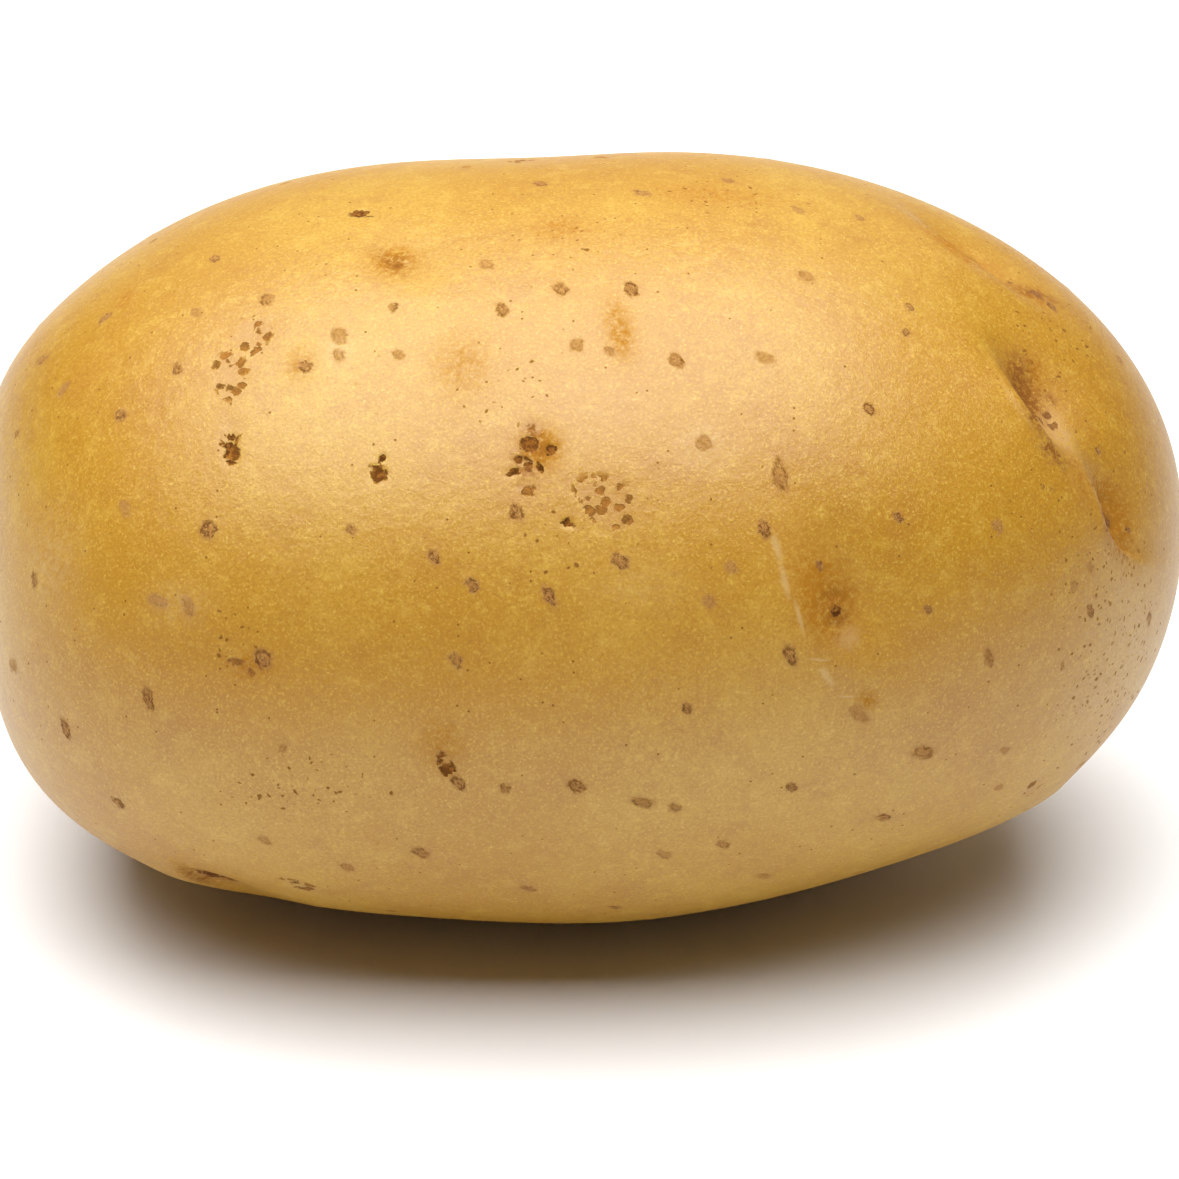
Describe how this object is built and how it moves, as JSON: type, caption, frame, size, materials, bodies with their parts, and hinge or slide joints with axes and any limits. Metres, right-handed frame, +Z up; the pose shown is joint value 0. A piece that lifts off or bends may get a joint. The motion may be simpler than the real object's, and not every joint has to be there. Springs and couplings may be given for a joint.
{
  "type": "potato",
  "caption": "Whole unpeeled long oval table potato with shallow eyes, lying on its flat spot.",
  "frame": {"origin": "on the small flat spot the tuber rests on, under the middle of its length and width", "axes": "+X along the tuber from the heel (stolon) end to the rose (bud) end, +Z up from the flat spot, -Y towards its front"},
  "size_m": [0.1, 0.07, 0.062],
  "materials": {
    "potato_skin": "thin natural skin, yellow-brown, finely grained, satin"
  },
  "bodies": {
    "root": {"potato": "potato_skin"}
  },
  "joints": []
}
